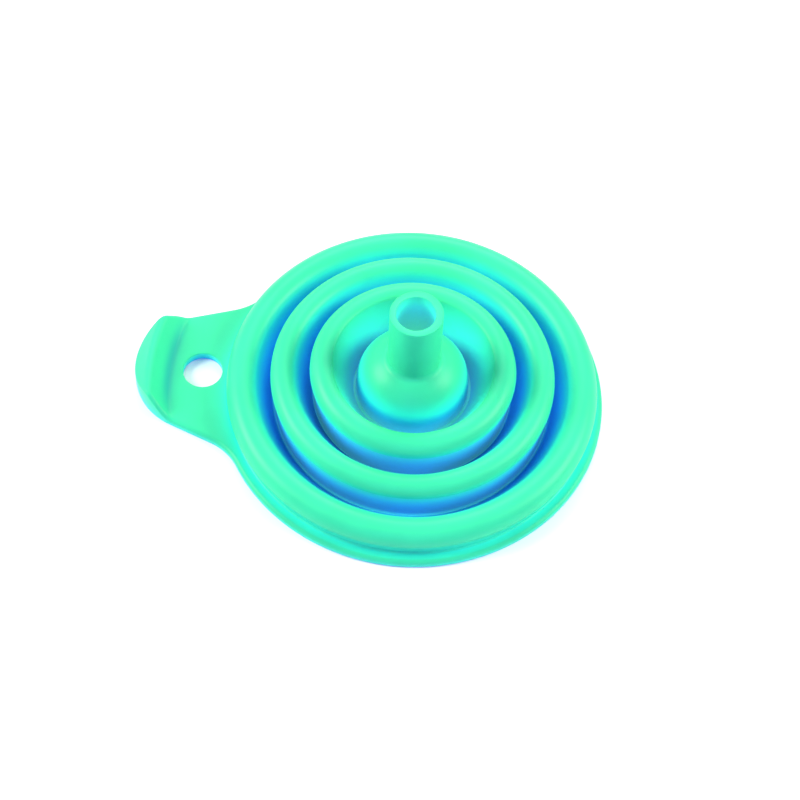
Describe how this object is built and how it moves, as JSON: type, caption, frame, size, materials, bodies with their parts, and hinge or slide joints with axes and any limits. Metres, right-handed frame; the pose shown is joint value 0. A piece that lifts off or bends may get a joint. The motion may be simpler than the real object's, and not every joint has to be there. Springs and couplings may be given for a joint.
{
  "type": "canning funnel",
  "caption": "Collapsible silicone canning funnel, folded flat: nested rounded rings round a domed shoulder and a straight spout, with a side tab that has a hanging hole and a thumb lip.",
  "frame": {"origin": "centre of the mouth, in the resting plane of the rim", "axes": "+Z along the spout, away from the mouth; the hanging tab points along -X; Y across the tab"},
  "size_m": [0.0982, 0.08, 0.0318],
  "materials": {
    "silicone": "satin moulded silicone"
  },
  "bodies": {
    "rim": {"rim_flange": "silicone", "hang_tab": "silicone", "thumb_lip": "silicone", "outer_wall": "silicone", "outer_bead": "silicone", "outer_web": "silicone"},
    "middle_ring": {"middle_wall": "silicone", "middle_bead": "silicone", "middle_web": "silicone"},
    "inner_ring": {"inner_wall": "silicone", "inner_bead": "silicone", "inner_web": "silicone"},
    "spout": {"spout_shoulder": "silicone", "spout_tube": "silicone"}
  },
  "joints": [
    {"name": "middle_ring_rise", "type": "slide", "parent": "rim", "child": "middle_ring", "axis": [0, 0, 1], "range_m": [0, 0.01306], "deforming": ["outer_web"]},
    {"name": "inner_ring_rise", "type": "slide", "parent": "middle_ring", "child": "inner_ring", "axis": [0, 0, 1], "range_m": [0, 0.01586], "deforming": ["middle_web"]},
    {"name": "spout_rise", "type": "slide", "parent": "inner_ring", "child": "spout", "axis": [0, 0, 1], "range_m": [0, 0.01735], "deforming": ["inner_web"]}
  ]
}
